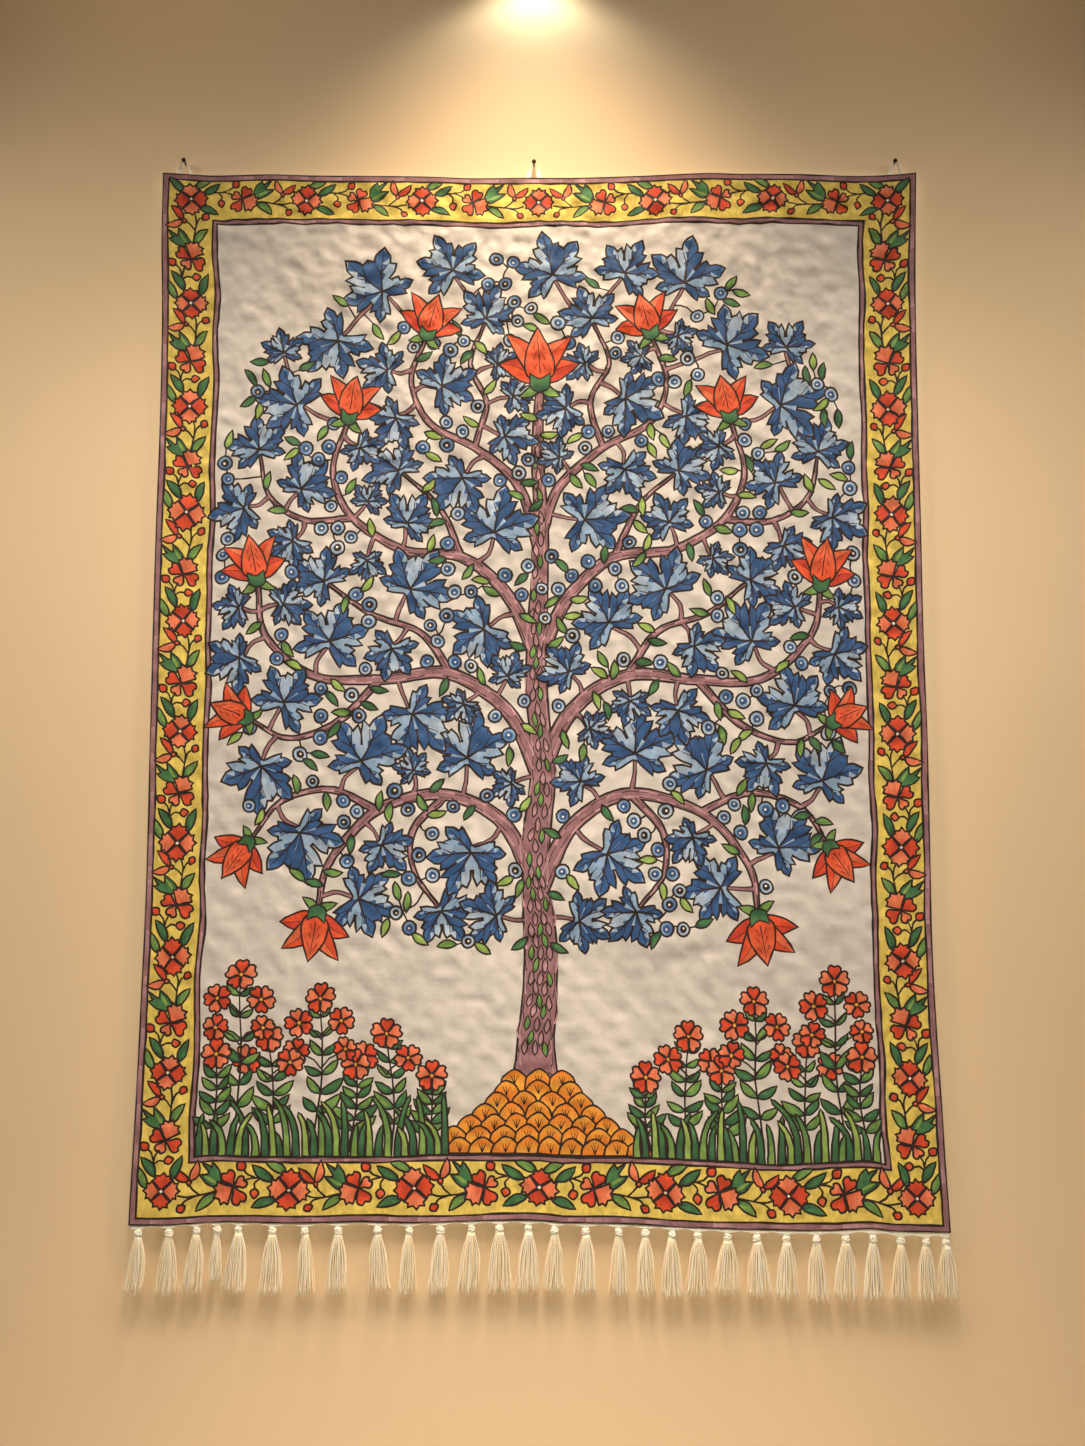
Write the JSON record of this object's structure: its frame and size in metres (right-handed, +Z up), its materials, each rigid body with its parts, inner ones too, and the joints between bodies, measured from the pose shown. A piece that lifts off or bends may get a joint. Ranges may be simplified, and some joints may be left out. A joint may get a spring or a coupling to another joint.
{
  "type": "painted cloth wall panel with nails",
  "caption": "Painted cotton wall panel with a tree-of-life design, yellow floral border and cream tasselled fringe, hung by tape loops on small wall nails.",
  "frame": {"origin": "on the axis of the centre nail, where it enters the wall behind the panel", "axes": "+Z up, -Y out of the wall towards the viewer, so that the painted face looks along -Y, and +X to the viewer's right"},
  "size_m": [0.9273, 0.0395, 1.3362],
  "materials": {
    "painted_cotton": "hand-painted and dyed cotton with a slight sheen",
    "cotton_tape": "plain woven cream cotton tape",
    "cotton_yarn": "loosely twisted cream cotton yarn",
    "dark_steel": "darkened steel"
  },
  "bodies": {
    "root": {"panel_cloth": "painted_cotton", "fringe_heading": "cotton_tape", "tassel_01": "cotton_yarn", "tassel_02": "cotton_yarn", "tassel_03": "cotton_yarn", "tassel_04": "cotton_yarn", "tassel_05": "cotton_yarn", "tassel_06": "cotton_yarn", "tassel_07": "cotton_yarn", "tassel_08": "cotton_yarn", "tassel_09": "cotton_yarn", "tassel_10": "cotton_yarn", "tassel_11": "cotton_yarn", "tassel_12": "cotton_yarn", "tassel_13": "cotton_yarn", "tassel_14": "cotton_yarn", "tassel_15": "cotton_yarn", "tassel_16": "cotton_yarn", "tassel_17": "cotton_yarn", "tassel_18": "cotton_yarn", "tassel_19": "cotton_yarn", "tassel_20": "cotton_yarn", "tassel_21": "cotton_yarn", "tassel_22": "cotton_yarn", "tassel_23": "cotton_yarn", "tassel_24": "cotton_yarn", "tassel_25": "cotton_yarn", "tassel_26": "cotton_yarn", "tassel_27": "cotton_yarn", "tassel_28": "cotton_yarn", "tassel_29": "cotton_yarn", "hanging_loop_left": "cotton_tape", "nail_left": "dark_steel", "hanging_loop_centre": "cotton_tape", "nail_centre": "dark_steel", "hanging_loop_right": "cotton_tape", "nail_right": "dark_steel"}
  },
  "joints": []
}
